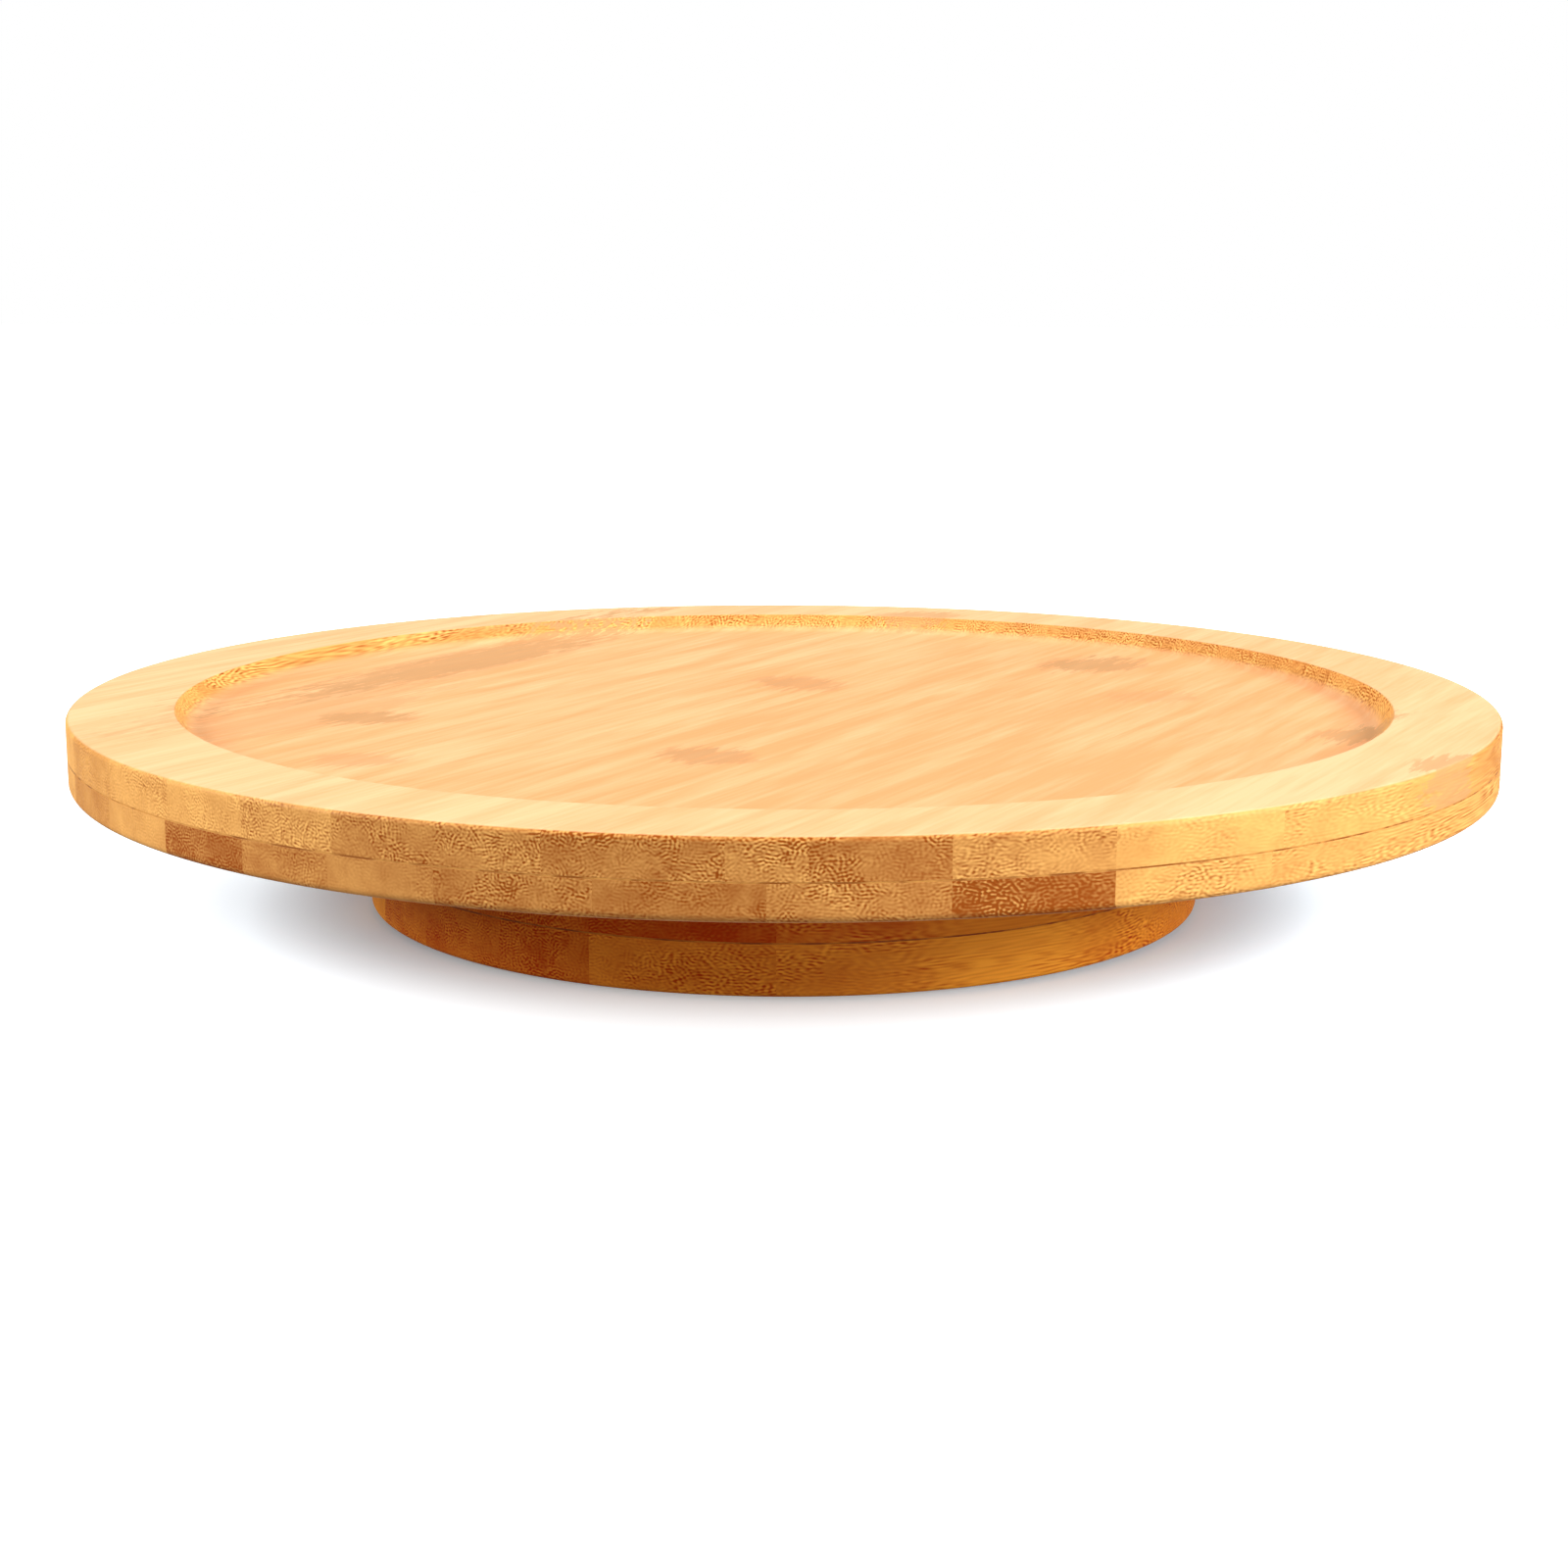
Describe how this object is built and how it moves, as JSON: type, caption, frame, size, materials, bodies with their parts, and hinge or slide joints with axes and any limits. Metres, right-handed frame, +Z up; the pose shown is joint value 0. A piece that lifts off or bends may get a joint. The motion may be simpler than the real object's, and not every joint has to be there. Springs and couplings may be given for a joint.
{
  "type": "lazy susan turntable",
  "caption": "Round bamboo serving tray with a shallow recess, turning freely on a smaller round bamboo base through a flat ball bearing.",
  "frame": {"origin": "on the surface that the feet stand on, on the turning axis", "axes": "+Z up along the turning axis; +X towards the screwdriver's access hole in the base; the picture's viewer looks along +Y"},
  "size_m": [0.305, 0.305, 0.0455],
  "materials": {
    "tray_bamboo": "light honey bamboo strips, clear satin lacquer",
    "base_bamboo": "amber bamboo strips, clear satin lacquer",
    "zinc_plate": "zinc-plated pressed sheet",
    "ball_steel": "polished bearing steel",
    "screw_steel": "zinc-plated screw steel",
    "cage_nylon": "natural moulded nylon",
    "foot_rubber": "matt black rubber"
  },
  "bodies": {
    "base": {"base_upper_panel": "base_bamboo", "base_lower_panel": "base_bamboo", "bearing_lower_plate": "zinc_plate", "base_screw_1": "screw_steel", "base_screw_2": "screw_steel", "base_screw_3": "screw_steel", "base_screw_4": "screw_steel", "rubber_foot_1": "foot_rubber", "rubber_foot_2": "foot_rubber", "rubber_foot_3": "foot_rubber", "rubber_foot_4": "foot_rubber"},
    "tray": {"tray_upper_panel": "tray_bamboo", "tray_lower_panel": "tray_bamboo", "bearing_upper_plate": "zinc_plate", "tray_screw_1": "screw_steel", "tray_screw_2": "screw_steel", "tray_screw_3": "screw_steel", "tray_screw_4": "screw_steel"},
    "ball_ring": {"ball_cage": "cage_nylon", "bearing_ball_01": "ball_steel", "bearing_ball_02": "ball_steel", "bearing_ball_03": "ball_steel", "bearing_ball_04": "ball_steel", "bearing_ball_05": "ball_steel", "bearing_ball_06": "ball_steel", "bearing_ball_07": "ball_steel", "bearing_ball_08": "ball_steel", "bearing_ball_09": "ball_steel", "bearing_ball_10": "ball_steel", "bearing_ball_11": "ball_steel", "bearing_ball_12": "ball_steel", "bearing_ball_13": "ball_steel", "bearing_ball_14": "ball_steel", "bearing_ball_15": "ball_steel", "bearing_ball_16": "ball_steel", "bearing_ball_17": "ball_steel", "bearing_ball_18": "ball_steel", "bearing_ball_19": "ball_steel", "bearing_ball_20": "ball_steel"}
  },
  "joints": [
    {"name": "tray_turn", "type": "hinge", "parent": "base", "child": "tray", "pos_m": [0, 0, 0.0265], "axis": [0, 0, 1], "continuous": true},
    {"name": "ball_ring_turn", "type": "hinge", "parent": "base", "child": "ball_ring", "pos_m": [0, 0, 0.0265], "axis": [0, 0, 1], "continuous": true}
  ],
  "couplings": [
    {"joint": "ball_ring_turn", "follows": "tray_turn", "ratio": 0.5}
  ]
}
